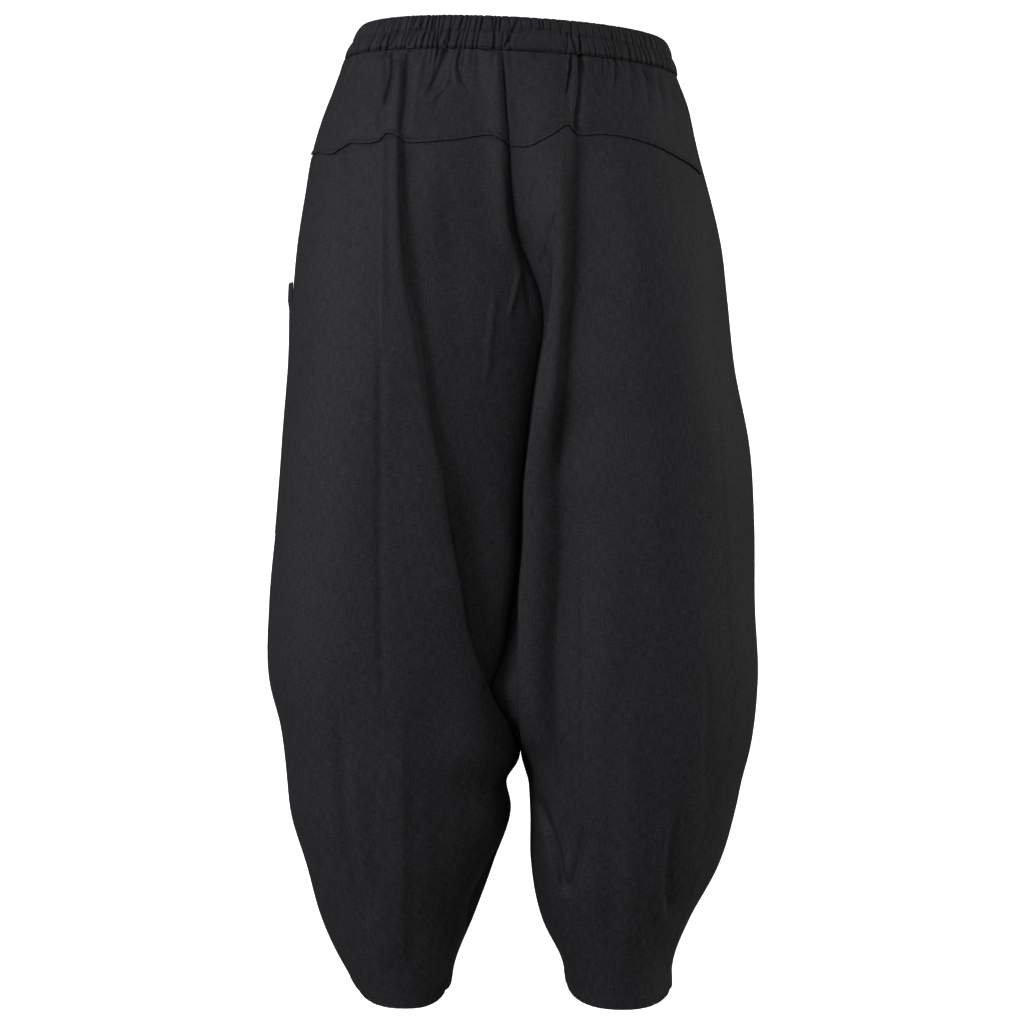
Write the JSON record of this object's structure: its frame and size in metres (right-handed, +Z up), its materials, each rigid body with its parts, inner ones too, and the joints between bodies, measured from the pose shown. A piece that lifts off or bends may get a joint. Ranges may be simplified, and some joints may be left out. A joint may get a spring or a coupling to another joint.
{
  "type": "wide-leg trousers",
  "caption": "Wide-leg trousers with a very low crotch, hollow as worn, with an elasticated waistband, a back yoke, a patch pocket and tapered open legs.",
  "frame": {"origin": "middle of the waist opening, halfway up the waistband", "axes": "+Z up towards the waist's open top; the back of the garment faces -Y; the wearer's left is at -X"},
  "size_m": [0.4638, 0.2565, 0.9171],
  "materials": {
    "woven_cloth": "matte black viscose plain weave with a soft sheen",
    "waistband_cloth": "the same black viscose, gathered over two rows of elastic"
  },
  "bodies": {
    "root": {"waistband": "waistband_cloth", "yoke_back_left": "woven_cloth", "yoke_back_right": "woven_cloth", "leg_back_left": "woven_cloth", "leg_back_right": "woven_cloth", "leg_front_left": "woven_cloth", "leg_front_right": "woven_cloth", "pocket_left": "woven_cloth"}
  },
  "joints": []
}
